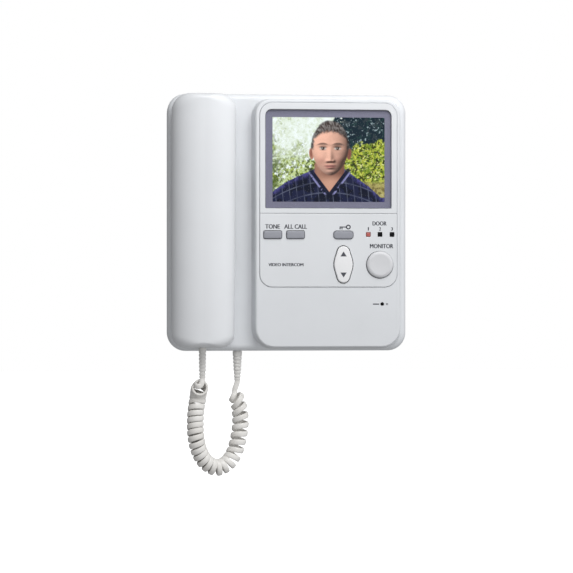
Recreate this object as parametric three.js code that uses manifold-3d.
// Wall-mounted video intercom station with a corded handset.
// Millimetres, +Z up. The origin is the centre of the wall bracket's back face,
// the wall is the plane y = 0 and the station faces -Y, so a depth d off the wall is y = -d.
// +X is to the right of somebody standing in front of it.

import * as THREE from 'three';
import { mergeVertices } from 'three/addons/utils/BufferGeometryUtils.js';
import Module from 'manifold-3d';

const wasm = await Module();
wasm.setup();

// ---------------------------------------------------------------- driving dimensions

const WALL = 2.5;                    // moulded wall thickness
const GAP = 0.3;                     // gap between pieces that touch
const CORNER_STEPS = 5;              // facets of a quarter-round corner

// Base: rear case and front case
const BASE = { left: -105, right: 105, bottom: -112.5, top: 112.5, radius: 16 };
const PARTING_D = 12;                // joint between rear and front case
const BASE_FRONT_D = 30;             // flat front beside the handset
const PANEL_BACK_D = 4;              // rear panel of the rear case
const PANEL_FRONT_D = PANEL_BACK_D + WALL;

// Raised monitor section of the front case
const FACE = { left: -27, right: 96.2, bottom: -107.5, top: 105, low: 15, high: 12 };
const SKIRT = { left: 4.8, right: 3.2, bottom: 3, top: 3.2 };
const FACE_D = 44;

// Insert that fills the upper part of the monitor section
const INSERT = { left: -25, right: 94.5, bottom: -56.4, top: 103.3, radius: 11 };
const INSERT_SPLIT_Z = 7.3;          // groove between screen bezel and control panel
const INSERT_BACK_D = 42.2;
const INSERT_FRONT_D = 44.6;
const LEDGE = 2.1;                   // width of the ledge that carries the insert

// Screen
const WINDOW = { left: -20.3, right: 89.7, bottom: 11.7, top: 97.5, low: 1, high: 5.5 };
const PICTURE = { left: -13.9, right: 83.9, bottom: 17.5, top: 90.9 };

// Keys: centre (x, z), size and corner radius
const KEYS = {
  tone_button: { x: -13.9, z: -11.2, width: 15.5, height: 6.6, radius: 1.2 },
  all_call_button: { x: 5.9, z: -11.2, width: 15.4, height: 6.6, radius: 1.2 },
  door_release_button: { x: 47.6, z: -11.3, width: 16.8, height: 6.6, radius: 2.4 },
};
const KEY_FRONT_D = 46;
const KEY_FLANGE_D = 40.2;
const MONITOR_KEY = { x: 79.6, z: -36.9, radius: 11.2, hole: 12 };
const KEY_STEM_D = 36.7;             // where a key's stem ends, short of its switch
const ROCKER = {
  x: 47.6, z: -36.9, halfWidth: 8.1, halfHeight: 15.9,
  pinD: 40.8, pinRadius: 1, pinHole: 1.3,
  lugX: 9.6,                         // the panel's lugs, either side of the middle
  stemZ: 9,                          // the rocker's two feet, above and below its pin
};
const DOOR_LEDS = [{ x: 69.4, z: -10.8 }, { x: 79.6, z: -10.8 }, { x: 90.1, z: -10.8 }];
const DOOR_LED_SIZE = 3.5;
const POWER_LED = { x: 81.6, z: -71.3, radius: 1.25 };

// Boards
const KEY_BOARD_D = 30;
const MAIN_BOARD_D = 15;
const BOARD_THICKNESS = 1.6;
const BOARD_FRONT_D = MAIN_BOARD_D + BOARD_THICKNESS + GAP;   // where the main board's parts stand
const SWITCH_TOP_D = 35.3;
const BOARD_POSTS = [[-34, -52], [84, -52], [-34, 88], [84, 88]];
const PANEL_POSTS = [[-18, 2], [88, 2], [-18, -48], [64, -50]];

// Cradle in the base, and the handset that hangs in it
const CRADLE_X = -74.5;
const EAR_Z = 80;
const MOUTH_Z = -76;
const WELL_RADIUS = 22;
const WELL_FLOOR_D = 17.7;
const CUP_RADIUS = 19;
const CUP_FACE_D = 19.5;
const TRAY = { left: -98.5, right: -50.5, half: 39.5, floorD: 22 };
const HANDSET = { left: -101.2, right: -46.1, bottom: -108.7, top: 110.4, low: 12, high: 15.5 };
const HANDSET_TAPER = 1.05;          // the right edge leans out by this much at the top
const HANDSET_SPLIT_D = 42;
const HANDSET_BACK_D = 30.6;
const GRIP_ARCH_D = 37.5;            // underside of the grip, clear of the fingers
const GRIP_ARCH_HALF = 46;
const GRIP_WALL = 2.4;
const HANDSET_SCREWS = [38, -38];

// Hook plunger, which the handset holds down
const HOOK = { z: 50, radius: 3.7, hole: 4.1, collar: 4.8, tipD: 30.3 };

// Fixings
const CASE_SCREWS = [[-95.5, 103], [95.5, 103], [-95.5, -103], [95.5, -103]];
const BRACKET = { halfWidth: 45, halfHeight: 88, thickness: 1.6 };
const WALL_SCREW_Z = 41.7;           // two screws on the centres of a single wall box
const CABLE_HOLE = { left: -26, right: 26, bottom: 8, top: 32 };
const BRACKET_HOOKS = [[-35, 66], [35, 66], [-35, -70], [35, -70]];
const HOOK_TIP_D = 8.7;              // the hooks' lips reach just past the rear panel
const TONGUE_Z = -106;               // bracket tongue that takes the lock screw
const LOCK_SCREW_D = 6;
const SOUND_SLOTS = { left: 14, pitch: 5.3, count: 7 };

// Cord
const CORD = 3.7;                    // diameter of the cord
const COIL = 14.8;                   // outside diameter of the curly part
const HANDSET_EXIT = { x: CRADLE_X, d: 40, top: -108.7, tip: -135, radius: 3.2 };
const BASE_EXIT = { x: -43.3, d: 20, top: -112.5, tip: -138, radius: 4.15 };
// Centre line of the curly part, from the handset's side to the base's: x, depth, z
const COIL_ROUTE = [
  [-77, 40, -143.8],
  [-79.4, 40, -158],
  [-80.6, 39.5, -175.5],
  [-79.7, 38.5, -189.2],
  [-77, 37, -199.1],
  [-71.4, 34.5, -208.5],
  [-61.6, 31, -214],
  [-52.8, 28, -210.5],
  [-47.4, 25.5, -203.5],
  [-42.8, 23, -190],
  [-40.6, 21, -173],
  [-42.4, 20, -158.5],
  [-45.6, 20, -147.4],
];

// ---------------------------------------------------------------- geometry helpers

/** Points of a rounded rectangle, anticlockwise from its lower right corner. */
function roundedRectangle(box, inset = 0) {
  const low = Math.max((box.low ?? box.radius) - inset, 0.5);
  const high = Math.max((box.high ?? box.radius) - inset, 0.5);
  const [left, right] = [box.left + inset, box.right - inset];
  const [bottom, top] = [box.bottom + inset, box.top - inset];
  const shape = new THREE.Shape();
  shape.absarc(right - low, bottom + low, low, -Math.PI / 2, 0);
  shape.absarc(right - high, top - high, high, 0, Math.PI / 2);
  shape.absarc(left + high, top - high, high, Math.PI / 2, Math.PI);
  shape.absarc(left + low, bottom + low, low, Math.PI, Math.PI * 1.5);
  return shape.curves
    .filter((curve) => curve.isEllipseCurve)
    .flatMap((curve) => curve.getPoints(CORNER_STEPS));
}

function circle(x, z, radius, steps = 24) {
  return new THREE.Path().absarc(x, z, radius, 0, Math.PI * 2).getSpacedPoints(steps).slice(0, -1);
}

/** A closed solid through outlines of equal point count, listed as [points, depth] from back to front. */
function loft(sections) {
  const count = sections[0][0].length;
  const positions = sections.flatMap(([points, d]) => points.flatMap((p) => [p.x, -d, p.y]));
  const index = [];
  for (let s = 0; s < sections.length - 1; s += 1) {
    for (let i = 0; i < count; i += 1) {
      const a = s * count + i;
      const b = s * count + ((i + 1) % count);
      index.push(a, b, b + count, a, b + count, a + count);
    }
  }
  const last = (sections.length - 1) * count;
  for (const [a, b, c] of THREE.ShapeUtils.triangulateShape(sections[0][0], [])) {
    index.push(c, b, a);
  }
  for (const [a, b, c] of THREE.ShapeUtils.triangulateShape(sections.at(-1)[0], [])) {
    index.push(last + a, last + b, last + c);
  }
  const geometry = new THREE.BufferGeometry();
  geometry.setAttribute('position', new THREE.Float32BufferAttribute(positions, 3));
  geometry.setIndex(index);
  return geometry;
}

/** A rounded rectangle lofted through rings of [inset, depth]. */
function roundedLoft(box, rings) {
  return loft(rings.map(([inset, d]) => [roundedRectangle(box, inset), d]));
}

/** A rounded plate between two depths. */
function plate(box, backD, frontD, inset = 0) {
  return roundedLoft(box, [[inset, backD], [inset, frontD]]);
}

/** A box from its lowest and highest x, z and depth. */
function block(left, right, bottom, top, backD, frontD) {
  const geometry = new THREE.BoxGeometry(right - left, frontD - backD, top - bottom);
  return geometry.translate((left + right) / 2, -(backD + frontD) / 2, (bottom + top) / 2);
}

/** A box with the sides of a rectangle, inset from them, between two depths. */
function square(box, inset, backD, frontD) {
  return block(box.left + inset, box.right - inset, box.bottom + inset, box.top - inset, backD, frontD);
}

/** A cylinder that stands off the wall. */
function peg(x, z, radius, backD, frontD, steps = 16) {
  const geometry = new THREE.CylinderGeometry(radius, radius, frontD - backD, steps);
  return geometry.translate(x, -(backD + frontD) / 2, z);
}

/** A solid turned about the line off the wall at the origin, from [radius, depth] points, back to front. */
function turned(profile, steps = 20) {
  const points = profile.map(([radius, d]) => new THREE.Vector2(radius, d));
  return new THREE.LatheGeometry(points, steps).rotateX(Math.PI);
}

/** A solid turned about an upright line, from a profile of [radius, height], bottom to top. */
function turnedUpright(x, d, profile, steps = 12) {
  const points = profile.map(([radius, z]) => new THREE.Vector2(radius, z));
  return new THREE.LatheGeometry(points, steps).rotateX(Math.PI / 2).translate(x, -d, 0);
}

/** An upright cylinder between two heights. */
function uprightPeg(x, d, radius, bottom, top) {
  const geometry = new THREE.CylinderGeometry(radius, radius, top - bottom, 12);
  return geometry.rotateX(Math.PI / 2).translate(x, -d, (bottom + top) / 2);
}

/** A cylinder along X. */
function rod(x, d, z, radius, length, steps = 16) {
  const geometry = new THREE.CylinderGeometry(radius, radius, length, steps);
  return geometry.rotateZ(Math.PI / 2).translate(x, -d, z);
}

/** An outline in the (z, depth) plane, extruded along X. */
function profileAlongX(points, left, right) {
  const shape = new THREE.Shape(points.map(([z, d]) => new THREE.Vector2(z, d)));
  const geometry = new THREE.ExtrudeGeometry(shape, { depth: right - left, bevelEnabled: false });
  const basis = new THREE.Matrix4().makeBasis(
    new THREE.Vector3(0, 0, 1),
    new THREE.Vector3(0, -1, 0),
    new THREE.Vector3(1, 0, 0),
  );
  return geometry.applyMatrix4(basis).translate(left, 0, 0);
}

/** A round tube along a curve. */
function tube(curve, radius, sides, steps) {
  const section = new THREE.Shape(circle(0, 0, radius, sides));
  return new THREE.ExtrudeGeometry(section, { extrudePath: curve, steps, bevelEnabled: false });
}

function toManifold(geometry) {
  const bare = geometry.clone();
  bare.deleteAttribute('normal');
  bare.deleteAttribute('uv');
  const merged = mergeVertices(bare, 1e-4);
  return new wasm.Manifold(new wasm.Mesh({
    numProp: 3,
    vertProperties: Float32Array.from(merged.attributes.position.array),
    triVerts: Uint32Array.from(merged.index.array),
  }));
}

/** A solid under construction, to which geometries are joined and from which they are cut, in order. */
class Solid {
  constructor(...pieces) {
    this.body = pieces.map(toManifold).reduce((sum, piece) => sum.add(piece));
  }

  join(...pieces) {
    this.body = pieces.reduce((sum, piece) => sum.add(toManifold(piece)), this.body);
    return this;
  }

  cut(...pieces) {
    this.body = pieces.reduce((sum, piece) => sum.subtract(toManifold(piece)), this.body);
    return this;
  }

  keepInside(piece) {
    this.body = this.body.intersect(toManifold(piece));
    return this;
  }

  geometry() {
    const mesh = this.body.getMesh();
    const geometry = new THREE.BufferGeometry();
    geometry.setAttribute('position', new THREE.Float32BufferAttribute(mesh.vertProperties, 3));
    geometry.setIndex([...mesh.triVerts]);
    return geometry;
  }
}

// ---------------------------------------------------------------- materials and scene

function material(color, roughness, metalness = 0) {
  return { color, roughness, metalness, flatShading: true };
}

const LOOKS = {
  case: material(0xd8dcde, 0.38),
  handset: material(0xdcdfe1, 0.36),
  key: material(0x8d8d9a, 0.45),
  light: material(0xd4d6d8, 0.4),
  window: material(0x3a3c44, 0.06),
  mask: material(0x6f6f82, 0.5),
  lcd: material(0x22262c, 0.2),
  red: material(0xb9554e, 0.35),
  dark: material(0x1c1d20, 0.4),
  board: material(0x2f6b46, 0.6),
  steel: material(0xa8acb0, 0.35, 1),
  zinc: material(0xb4b7ba, 0.45, 1),
  aluminium: material(0xc0c3c6, 0.4, 1),
  rubber: material(0x2a2a2c, 0.8),
  cord: material(0xd9dad6, 0.5),
  terminal: material(0x3c7a4c, 0.5),
};

const station = new THREE.Group();

function add(name, look, geometry) {
  const mesh = new THREE.Mesh(geometry, new THREE.MeshStandardMaterial(LOOKS[look]));
  mesh.name = name;
  station.add(mesh);
  return mesh;
}

function place(mesh, x, z, d = 0) {
  mesh.position.set(x, -d, z);
}

// ---------------------------------------------------------------- wall bracket

function wallBracket() {
  const { halfWidth, halfHeight, thickness } = BRACKET;
  const sheet = {
    left: -halfWidth, right: halfWidth, bottom: -halfHeight, top: halfHeight, radius: 6,
  };
  const slot = { left: -2.5, right: 2.5, radius: 2.5 };
  const screwSlot = (z) => plate({ ...slot, bottom: z - 5.5, top: z + 5.5 }, -1, 3);
  const bracket = new Solid(
    plate(sheet, 0, thickness),
    block(-9, 9, TONGUE_Z, -halfHeight + 1, 0, thickness),
    block(-9, 9, TONGUE_Z, TONGUE_Z + thickness, 0, 10),
  );
  for (const [x, z] of BRACKET_HOOKS) {
    bracket.join(
      block(x - 3, x + 3, z, z + thickness, thickness / 2, HOOK_TIP_D),
      block(x - 3, x + 3, z, z + 7, HOOK_TIP_D - thickness, HOOK_TIP_D),
    );
  }
  return bracket.cut(
    plate({ ...CABLE_HOLE, radius: 4 }, -1, 3),
    screwSlot(WALL_SCREW_Z),
    screwSlot(-WALL_SCREW_Z),
    uprightPeg(0, LOCK_SCREW_D, 1.8, TONGUE_Z - 1, TONGUE_Z + 3),
  ).geometry();
}

// ---------------------------------------------------------------- base shells

function rearCase() {
  const shell = new Solid(roundedLoft(BASE, [[1.4, 0.8], [0.4, 1.8], [0, 3.4], [0, PARTING_D]]));
  shell.cut(
    plate(BASE, -1, PANEL_BACK_D, WALL + 0.5),
    plate(BASE, PANEL_FRONT_D, PARTING_D + 1, WALL),
    plate({ ...CABLE_HOLE, radius: 4 }, 1, 9),
    block(-11, 11, BASE.bottom + WALL, TONGUE_Z + 9, 3, 8),
  );
  shell.join(
    block(-7, 7, BASE.bottom + 0.5, BASE.bottom + 5.5, 1.6, 10.5),
    ...CASE_SCREWS.map(([x, z]) => peg(x, z, 4.5, PANEL_BACK_D, PARTING_D)),
    ...BOARD_POSTS.map(([x, z]) => peg(x, z, 3, PANEL_BACK_D + 1, MAIN_BOARD_D - GAP, 12)),
  );
  return shell.cut(
    ...CASE_SCREWS.map(([x, z]) => peg(x, z, 3.4, PANEL_BACK_D - 1, 8)),
    ...CASE_SCREWS.map(([x, z]) => peg(x, z, 1.8, 7, PARTING_D + 1, 12)),
    ...BRACKET_HOOKS.map(([x, z]) => block(x - 4.5, x + 4.5, z - 8.5, z + 1.9, 3, 8)),
    uprightPeg(0, LOCK_SCREW_D, 3.3, BASE.bottom - 1, BASE.bottom + 2.5),
    uprightPeg(0, LOCK_SCREW_D, 1.8, BASE.bottom, BASE.bottom + 6),
  ).geometry();
}

/** Outline of the raised section: spread 1 at its foot, 0 at the edge of its face. */
function faceOutline(spread, inset = 0) {
  return roundedRectangle({
    left: FACE.left - SKIRT.left * spread,
    right: FACE.right + SKIRT.right * spread,
    bottom: FACE.bottom - SKIRT.bottom * spread,
    top: FACE.top + SKIRT.top * spread,
    low: FACE.low + 3 * spread,
    high: FACE.high + 3 * spread,
  }, inset);
}

function faceLoft(rings, inset = 0) {
  return loft(rings.map(([spread, d]) => [faceOutline(spread, inset), d]));
}

function frontCase() {
  const partingD = PARTING_D + GAP;
  const well = (z) => peg(CRADLE_X, z, WELL_RADIUS, WELL_FLOOR_D, 31, 24);
  const wellTube = (z) => peg(CRADLE_X, z, WELL_RADIUS + 2.2, WELL_FLOOR_D - 2.2, 28.5, 24);
  const tray = { left: TRAY.left, right: TRAY.right, bottom: -TRAY.half, top: TRAY.half, radius: 6 };
  const ledge = { ...INSERT, left: -26, right: 95.4, bottom: -58.5, top: 104.2 };
  const shell = new Solid(
    roundedLoft(BASE, [
      [0, partingD], [0.25, 24], [0.8, 27], [1.9, 28.9], [3.6, 29.8], [5.6, BASE_FRONT_D],
    ]),
    faceLoft([[1, 28.4], [0.7, 32], [0.42, 38.5], [0.3, 42], [0.18, 43.3], [0, FACE_D]]),
  );
  shell.cut(
    roundedLoft(BASE, [[WALL, 11], [2.6, 24], [3.4, 26.4], [5.2, 27.4], [7, 27.5]]),
    faceLoft([[1, 26], [0.6, 33], [0.4, 40.4], [0.1, 41.4]], WALL),
  );
  shell.join(
    plate(ledge, 39.4, INSERT_BACK_D - GAP),
    wellTube(EAR_Z),
    wellTube(MOUTH_Z),
    plate(tray, TRAY.floorD - WALL, 28.5, -WALL),
    ...CASE_SCREWS.map(([x, z]) => peg(x, z, 3.8, partingD, 28)),
  );
  shell.cut(
    plate(INSERT, INSERT_BACK_D - GAP, 46, -0.5),
    plate(INSERT, 35, 46, LEDGE),
    well(EAR_Z),
    well(MOUTH_Z),
    plate(tray, TRAY.floorD, 31),
    peg(CRADLE_X, HOOK.z, HOOK.hole, 25, 31),
    peg(POWER_LED.x, POWER_LED.z, POWER_LED.radius + GAP, 40, 45, 12),
    uprightPeg(BASE_EXIT.x, BASE_EXIT.d, 3.9, BASE.bottom - 1, BASE.bottom + 4),
    ...CASE_SCREWS.map(([x, z]) => peg(x, z, 1.8, 11, 25, 12)),
  );
  for (let k = 0; k < SOUND_SLOTS.count; k += 1) {
    const x = SOUND_SLOTS.left + k * SOUND_SLOTS.pitch;
    shell.cut(block(x - 1, x + 1, BASE.bottom - 1, BASE.bottom + 4, 15.5, 24));
  }
  return shell.geometry();
}

// ---------------------------------------------------------------- insert and screen

/** The insert's outline with a slightly eased front edge, cut to one side of the split groove. */
function insertHalf(bottom, top) {
  const whole = roundedLoft(INSERT, [
    [0, INSERT_BACK_D], [0, INSERT_FRONT_D - 0.5], [0.5, INSERT_FRONT_D],
  ]);
  return new Solid(whole).keepInside(block(-30, 100, bottom, top, 40, 50));
}

function screenBezel() {
  return insertHalf(INSERT_SPLIT_Z + 0.25, 110).cut(plate(WINDOW, 41, 46)).geometry();
}

function rockerOutline(inset) {
  const endRadius = 5.4;
  const endZ = ROCKER.halfHeight - endRadius;
  const lean = 0.27;
  const shape = new THREE.Shape();
  shape.absarc(0, endZ, endRadius, lean, Math.PI - lean);
  shape.lineTo(-ROCKER.halfWidth, 0);
  shape.absarc(0, -endZ, endRadius, Math.PI + lean, Math.PI * 2 - lean);
  shape.lineTo(ROCKER.halfWidth, 0);
  return shape.getPoints(5).map((p) => new THREE.Vector2(
    ROCKER.x + p.x * (1 - inset / ROCKER.halfWidth),
    ROCKER.z + p.y * (1 - inset / ROCKER.halfHeight),
  ));
}

function keyBox(key) {
  return {
    left: key.x - key.width / 2,
    right: key.x + key.width / 2,
    bottom: key.z - key.height / 2,
    top: key.z + key.height / 2,
    radius: key.radius,
  };
}

function controlPanel() {
  const postBackD = KEY_BOARD_D + BOARD_THICKNESS + GAP;
  const lug = (x) => block(x - 1.2, x + 1.2, ROCKER.z - 3, ROCKER.z + 3, 38.6, 43);
  const half = DOOR_LED_SIZE / 2 + GAP;
  return insertHalf(-60, INSERT_SPLIT_Z - 0.25).join(
    lug(ROCKER.x - ROCKER.lugX),
    lug(ROCKER.x + ROCKER.lugX),
    ...PANEL_POSTS.map(([x, z]) => peg(x, z, 2, postBackD, 43, 10)),
  ).cut(
    ...Object.values(KEYS).map((key) => plate(keyBox(key), 41, 46, -0.45)),
    peg(MONITOR_KEY.x, MONITOR_KEY.z, MONITOR_KEY.hole, 41, 46, 28),
    loft([[rockerOutline(-0.7), 41], [rockerOutline(-0.7), 46]]),
    rod(ROCKER.x, ROCKER.pinD, ROCKER.z, ROCKER.pinHole, 2 * ROCKER.lugX + 6),
    ...DOOR_LEDS.map((led) => block(led.x - half, led.x + half, led.z - half, led.z + half, 41, 46)),
  ).geometry();
}

function lcdFrame() {
  const outer = { left: -19, right: 89, bottom: 12.5, top: 96 };
  return new Solid(square(outer, 0, 33.5, 41.4))
    .cut(square(outer, 1.6, 33, 40.4), square(PICTURE, -0.6, 33, 42))
    .geometry();
}

function screenMask() {
  return new Solid(plate(WINDOW, 41.7, 42.3, 0.35)).cut(square(PICTURE, 0, 41, 43)).geometry();
}

// ---------------------------------------------------------------- keys

/** A key cap with its retaining flange and the stem that meets its switch, about the key's centre. */
function keyCap(key) {
  const box = keyBox({ ...key, x: 0, z: 0 });
  return new Solid(
    roundedLoft(box, [[0, 41.2], [0, KEY_FRONT_D - 0.8], [0.25, KEY_FRONT_D - 0.25], [0.8, KEY_FRONT_D]]),
    plate(box, KEY_FLANGE_D, KEY_FLANGE_D + 1.5, -0.75),
    peg(0, 0, 1.8, KEY_STEM_D, 41, 12),
  ).geometry();
}

function monitorKey() {
  const r = MONITOR_KEY.radius;
  const frontD = KEY_FRONT_D + 0.8;
  return new Solid(
    turned([
      [0, 41], [r, 41], [r, frontD - 1.4], [r - 0.5, frontD - 0.6], [r - 1.8, frontD - 0.2], [0, frontD],
    ], 28),
    peg(0, 0, MONITOR_KEY.hole + 0.7, KEY_FLANGE_D, KEY_FLANGE_D + 1.5, 28),
    peg(0, 0, 2.2, KEY_STEM_D, 41, 12),
  ).geometry();
}

function scanRocker() {
  const rings = [[0, 41.6], [0, 45.2], [0.4, 45.8], [1.1, 46.1]];
  return new Solid(
    loft(rings.map(([inset, d]) => [rockerOutline(inset), d])),
    rod(ROCKER.x, ROCKER.pinD, ROCKER.z, 2.5, 15.4),
    peg(ROCKER.x, ROCKER.z + ROCKER.stemZ, 1.8, KEY_STEM_D, 42, 12),
    peg(ROCKER.x, ROCKER.z - ROCKER.stemZ, 1.8, KEY_STEM_D, 42, 12),
  ).cut(rod(ROCKER.x, ROCKER.pinD, ROCKER.z, ROCKER.pinHole, 20)).geometry();
}

function tactSwitch() {
  const backD = KEY_BOARD_D + BOARD_THICKNESS + GAP;
  return new Solid(
    block(-3, 3, -3, 3, backD, SWITCH_TOP_D - 0.7),
    peg(0, 0, 1.7, backD + 1, SWITCH_TOP_D, 12),
  ).geometry();
}

// ---------------------------------------------------------------- inner parts of the base

function callSpeaker() {
  return turned([
    [0, 22], [9, 22], [9, 29], [12, 30], [19.4, 36.4], [20, 36.4], [20, 38], [17, 38], [14, 36], [0, 34.5],
  ]);
}

function heatSink() {
  const fins = [12, 16.5, 21, 25.5, 30].map((x) => block(x, x + 1.6, -57, -37, 18.5, 28.5));
  return new Solid(block(10, 34, -57, -37, BOARD_FRONT_D, 19), ...fins).geometry();
}

function terminalBlock() {
  const screwHoles = [-20, -12, -4, 4, 12, 20].map((x) => peg(x, 20, 2, 7, 10, 12));
  return new Solid(block(-25, 25, 13, 27, 8, MAIN_BOARD_D - GAP)).cut(...screwHoles).geometry();
}

function ribbonCable() {
  const half = 0.25;
  const line = [[-20, BOARD_FRONT_D], [-20, 21], [-17, 24.5], [-14, 28], [-14, KEY_BOARD_D - GAP]];
  const left = line.map(([z, d]) => [z - half, d]);
  const right = line.map(([z, d]) => [z + half, d]).reverse();
  return profileAlongX([...left, ...right], -4, 16);
}

function hookPlunger() {
  return turned([
    [0, 14], [2, 14], [2, 21.4], [HOOK.collar, 21.4], [HOOK.collar, 23], [HOOK.radius, 23],
    [HOOK.radius, HOOK.tipD - 1], [HOOK.radius - 1.2, HOOK.tipD], [0, HOOK.tipD],
  ]);
}

/** A pan-head screw, its head towards the wall. */
function screw({ headD, headHeight, headRadius, shankRadius, tipD }) {
  const underHeadD = headD + headHeight;
  return turned([
    [0, headD], [headRadius * 0.7, headD], [headRadius, headD + headHeight * 0.5],
    [headRadius, underHeadD], [shankRadius, underHeadD], [shankRadius, tipD - 1], [0, tipD],
  ], 16);
}

// ---------------------------------------------------------------- handset

function handsetOutline(inset) {
  const middle = (HANDSET.left + HANDSET.right) / 2;
  const middleZ = (HANDSET.bottom + HANDSET.top) / 2;
  const halfHeight = (HANDSET.top - HANDSET.bottom) / 2;
  return roundedRectangle(HANDSET, inset).map((p) => {
    const side = THREE.MathUtils.clamp((p.x - middle) / 20, 0, 1);
    return new THREE.Vector2(p.x + side * HANDSET_TAPER * (p.y - middleZ) / halfHeight, p.y);
  });
}

function handsetLoft(rings) {
  return loft(rings.map(([inset, d]) => [handsetOutline(inset), d]));
}

/** The hole for the strain relief's neck, with the pocket for its flange. */
function reliefHole() {
  const { x, d, top } = HANDSET_EXIT;
  const flangeZ = top + 2.8;
  return turnedUpright(x, d, [
    [0, top - 3], [3.3, top - 3], [3.3, flangeZ], [4.9, flangeZ], [4.9, top + 6], [0, top + 6],
  ]);
}

function handsetOuterShell() {
  const shell = new Solid(handsetLoft([
    [0.15, HANDSET_SPLIT_D], [0, 44], [0.7, 49], [2.6, 54], [6, 58], [11, 60.6], [17.5, 61.8], [24, 62],
  ]));
  shell.cut(handsetLoft([
    [2.6, 41], [2.6, 46], [3.4, 50], [5.3, 54], [8.6, 57], [13, 58.8], [19, 59.4],
  ]));
  shell.join(...HANDSET_SCREWS.map((z) => peg(CRADLE_X, z, 3.6, 45.3, 60.5)));
  shell.cut(...HANDSET_SCREWS.map((z) => peg(CRADLE_X, z, 1.6, 44, 55, 12)), reliefHole());
  return shell.geometry();
}

/** The arch under the grip, grown by some wall thickness. */
function gripArch(grow) {
  const half = GRIP_ARCH_HALF + grow;
  const d = GRIP_ARCH_D + grow;
  const arch = [[-half, 29], [-half, 31], [-half + 6, d], [half - 6, d], [half, 31], [half, 29]];
  return profileAlongX(arch, -105, -40);
}

/** The seven sound holes of a cup: one in the middle and six round it. */
function soundHoles(cupZ) {
  return [0, 1, 2, 3, 4, 5, 6].map((k) => {
    const reach = k === 0 ? 0 : 6;
    const angle = (k * Math.PI) / 3;
    const x = CRADLE_X + reach * Math.cos(angle);
    const z = cupZ + reach * Math.sin(angle);
    return peg(x, z, 1.2, CUP_FACE_D - 1, CUP_FACE_D + 3, 6);
  });
}

function handsetInnerShell() {
  const hollow = new Solid(handsetLoft([[6.2, 33.2], [3.2, 35.5], [2.7, 38], [2.7, 43]]));
  hollow.cut(gripArch(GRIP_WALL));
  const shell = new Solid(handsetLoft([
    [4.2, HANDSET_BACK_D], [2.2, 31.4], [1.1, 34], [0.4, 38], [0.15, HANDSET_SPLIT_D - GAP],
  ]));
  shell.cut(gripArch(0), hollow.geometry());
  for (const z of [EAR_Z, MOUTH_Z]) {
    shell.join(peg(CRADLE_X, z, CUP_RADIUS, CUP_FACE_D, 33.4, 24));
    shell.cut(peg(CRADLE_X, z, CUP_RADIUS - WALL, CUP_FACE_D + 2.2, 36, 24), ...soundHoles(z));
  }
  for (const z of HANDSET_SCREWS) {
    shell.join(peg(CRADLE_X, z, 4.8, GRIP_ARCH_D, 45));
    shell.cut(peg(CRADLE_X, z, 3.2, GRIP_ARCH_D - 1, 41), peg(CRADLE_X, z, 1.6, 40, 46, 12));
  }
  return shell.cut(reliefHole()).geometry();
}

// ---------------------------------------------------------------- cord

/** A moulded strain relief: flange inside the wall, neck through it, ribbed cone below. */
function strainRelief({ x, d, top, tip, radius }, neck, flange) {
  const ribs = 5;
  const bottom = top - GAP;
  const profile = [[0, tip], [CORD / 2, tip]];
  for (let k = 1; k < ribs; k += 1) {
    const z = THREE.MathUtils.lerp(tip, bottom, k / ribs);
    const r = THREE.MathUtils.lerp(CORD / 2 + 0.1, radius, k / ribs);
    profile.push([r, z - 0.8], [r - 0.35, z], [r, z + 0.8]);
  }
  profile.push([radius, bottom], [neck, bottom]);
  profile.push([neck, top + 3.1], [flange, top + 3.1], [flange, top + 4.8], [0, top + 4.8]);
  return turnedUpright(x, d, profile);
}

function routePoint([x, d, z]) {
  return new THREE.Vector3(x, -d, z);
}

/** The plain lead between a strain relief's tip and the end of the curly part. */
function cordLead(exit, coilEnd, coilNext) {
  const end = routePoint(coilEnd);
  const away = end.clone().sub(routePoint(coilNext)).normalize();
  return tube(new THREE.CubicBezierCurve3(
    routePoint([exit.x, exit.d, exit.tip - GAP]),
    routePoint([exit.x, exit.d, exit.tip - 3]),
    end.clone().addScaledVector(away, GAP + 2),
    end.clone().addScaledVector(away, GAP),
  ), CORD / 2, 8, 6);
}

// ---------------------------------------------------------------- assembly

add('wall_bracket', 'zinc', wallBracket());
add('rear_case', 'case', rearCase());
add('front_case', 'case', frontCase());
add('screen_bezel', 'case', screenBezel());
add('control_panel', 'case', controlPanel());
add('screen_window', 'window', plate(WINDOW, 42.6, 44.2, 0.35));
add('screen_mask', 'mask', screenMask());
add('lcd_panel', 'lcd', block(-17, 87, 14.5, 94, 37.7, 40.1));
add('lcd_frame', 'steel', lcdFrame());
add('backlight_unit', 'light', block(-17, 87, 14.5, 94, 34, 37.4));

add('main_board', 'board', block(-40, 90, -60, 96, MAIN_BOARD_D, MAIN_BOARD_D + BOARD_THICKNESS));
add('key_board', 'board', block(-20, 92, -52, 6, KEY_BOARD_D, KEY_BOARD_D + BOARD_THICKNESS));
add('terminal_block', 'terminal', terminalBlock());
add('transformer', 'steel', block(52, 84, -58, -34, BOARD_FRONT_D, 28.5));
add('heat_sink', 'aluminium', heatSink());
[-20, -4].forEach((x, k) => {
  place(add(`capacitor_${k + 1}`, 'dark', peg(0, 0, 6.3, BOARD_FRONT_D, 28)), x, -42);
});
add('ribbon_cable', 'light', ribbonCable());
place(add('call_speaker', 'dark', callSpeaker()), 30, -82);

for (const [name, key] of Object.entries(KEYS)) {
  place(add(name, 'key', keyCap(key)), key.x, key.z);
}
place(add('monitor_button', 'case', monitorKey()), MONITOR_KEY.x, MONITOR_KEY.z);
add('scan_rocker', 'handset', scanRocker());
add('rocker_pin', 'steel', rod(ROCKER.x, ROCKER.pinD, ROCKER.z, ROCKER.pinRadius, 21.6));

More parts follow.
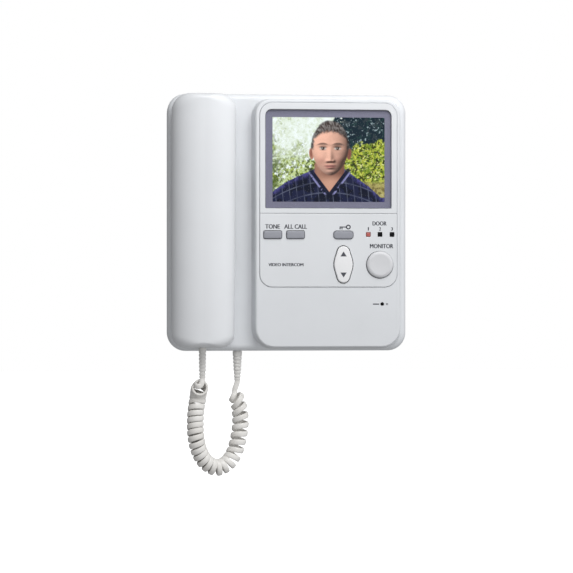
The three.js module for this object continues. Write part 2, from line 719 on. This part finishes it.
const SWITCHES = {
  tone_switch: KEYS.tone_button,
  all_call_switch: KEYS.all_call_button,
  door_release_switch: KEYS.door_release_button,
  monitor_switch: MONITOR_KEY,
  scan_up_switch: { x: ROCKER.x, z: ROCKER.z + ROCKER.stemZ },
  scan_down_switch: { x: ROCKER.x, z: ROCKER.z - ROCKER.stemZ },
};
for (const [name, { x, z }] of Object.entries(SWITCHES)) {
  place(add(name, 'dark', tactSwitch()), x, z);
}

DOOR_LEDS.forEach(({ x, z }, k) => {
  const half = DOOR_LED_SIZE / 2;
  const backD = KEY_BOARD_D + BOARD_THICKNESS + GAP;
  const body = block(-half, half, -half, half, backD, INSERT_FRONT_D + 0.2);
  place(add(`door_led_${k + 1}`, k === 0 ? 'red' : 'dark', body), x, z);
});
const powerLens = peg(0, 0, POWER_LED.radius, 38, FACE_D + 0.2);
place(add('power_led', 'dark', powerLens), POWER_LED.x, POWER_LED.z);

place(add('hook_plunger', 'light', hookPlunger()), CRADLE_X, HOOK.z);
const spring = new Solid(peg(0, 0, 3.8, 13.9, 21.1)).cut(peg(0, 0, 2.5, 13, 22));
place(add('hook_spring', 'steel', spring.geometry()), CRADLE_X, HOOK.z);
add('hook_switch', 'dark', block(-84, -65, 45, 55, 7, 13.6));

const CASE_SCREW = { headD: 5.4, headHeight: 2.3, headRadius: 3, shankRadius: 1.5, tipD: 24 };
CASE_SCREWS.forEach(([x, z], k) => {
  place(add(`case_screw_${k + 1}`, 'steel', screw(CASE_SCREW)), x, z);
});
const LOCK_SCREW = { headD: 0, headHeight: 2, headRadius: 3, shankRadius: 1.5, tipD: 11.5 };
const lockScrew = add('bracket_lock_screw', 'steel', screw(LOCK_SCREW));
lockScrew.rotation.x = -Math.PI / 2;
place(lockScrew, 0, BASE.bottom + 0.2, LOCK_SCREW_D);

add('handset_outer_shell', 'handset', handsetOuterShell());
add('handset_inner_shell', 'handset', handsetInnerShell());
place(add('receiver_capsule', 'dark', peg(0, 0, 15.5, 23.5, 31)), CRADLE_X, EAR_Z);
const receiverSeal = new Solid(peg(0, 0, 16, 22, 23.2)).cut(peg(0, 0, 12, 21, 24));
place(add('receiver_seal', 'rubber', receiverSeal.geometry()), CRADLE_X, EAR_Z);
place(add('microphone_capsule', 'steel', peg(0, 0, 4.8, 23.5, 30)), CRADLE_X, MOUTH_Z);
const microphoneSeal = new Solid(peg(0, 0, 9, 22, 30.5))
  .cut(peg(0, 0, 5.1, 23.2, 31), peg(0, 0, 2, 21, 24, 12));
place(add('microphone_seal', 'rubber', microphoneSeal.geometry()), CRADLE_X, MOUTH_Z);
place(add('handset_weight', 'steel', block(-9.5, 9.5, -26, 26, 46, 54)), CRADLE_X, 0);
const HANDSET_SCREW = { headD: 38.8, headHeight: 1.9, headRadius: 2.8, shankRadius: 1.3, tipD: 53 };
HANDSET_SCREWS.forEach((z, k) => {
  place(add(`handset_screw_${k + 1}`, 'steel', screw(HANDSET_SCREW)), CRADLE_X, z);
});

const coilLine = new THREE.CatmullRomCurve3(COIL_ROUTE.map(routePoint));
add('handset_strain_relief', 'cord', strainRelief(HANDSET_EXIT, 2.9, 4.5));
add('base_strain_relief', 'cord', strainRelief(BASE_EXIT, 3.5, 4.9));
add('cord_lead_handset', 'cord', cordLead(HANDSET_EXIT, COIL_ROUTE[0], COIL_ROUTE[1]));
add('cord_coil', 'cord', tube(coilLine, COIL / 2, 10, 32));
add('cord_lead_base', 'cord', cordLead(BASE_EXIT, COIL_ROUTE.at(-1), COIL_ROUTE.at(-2)));

export default station;
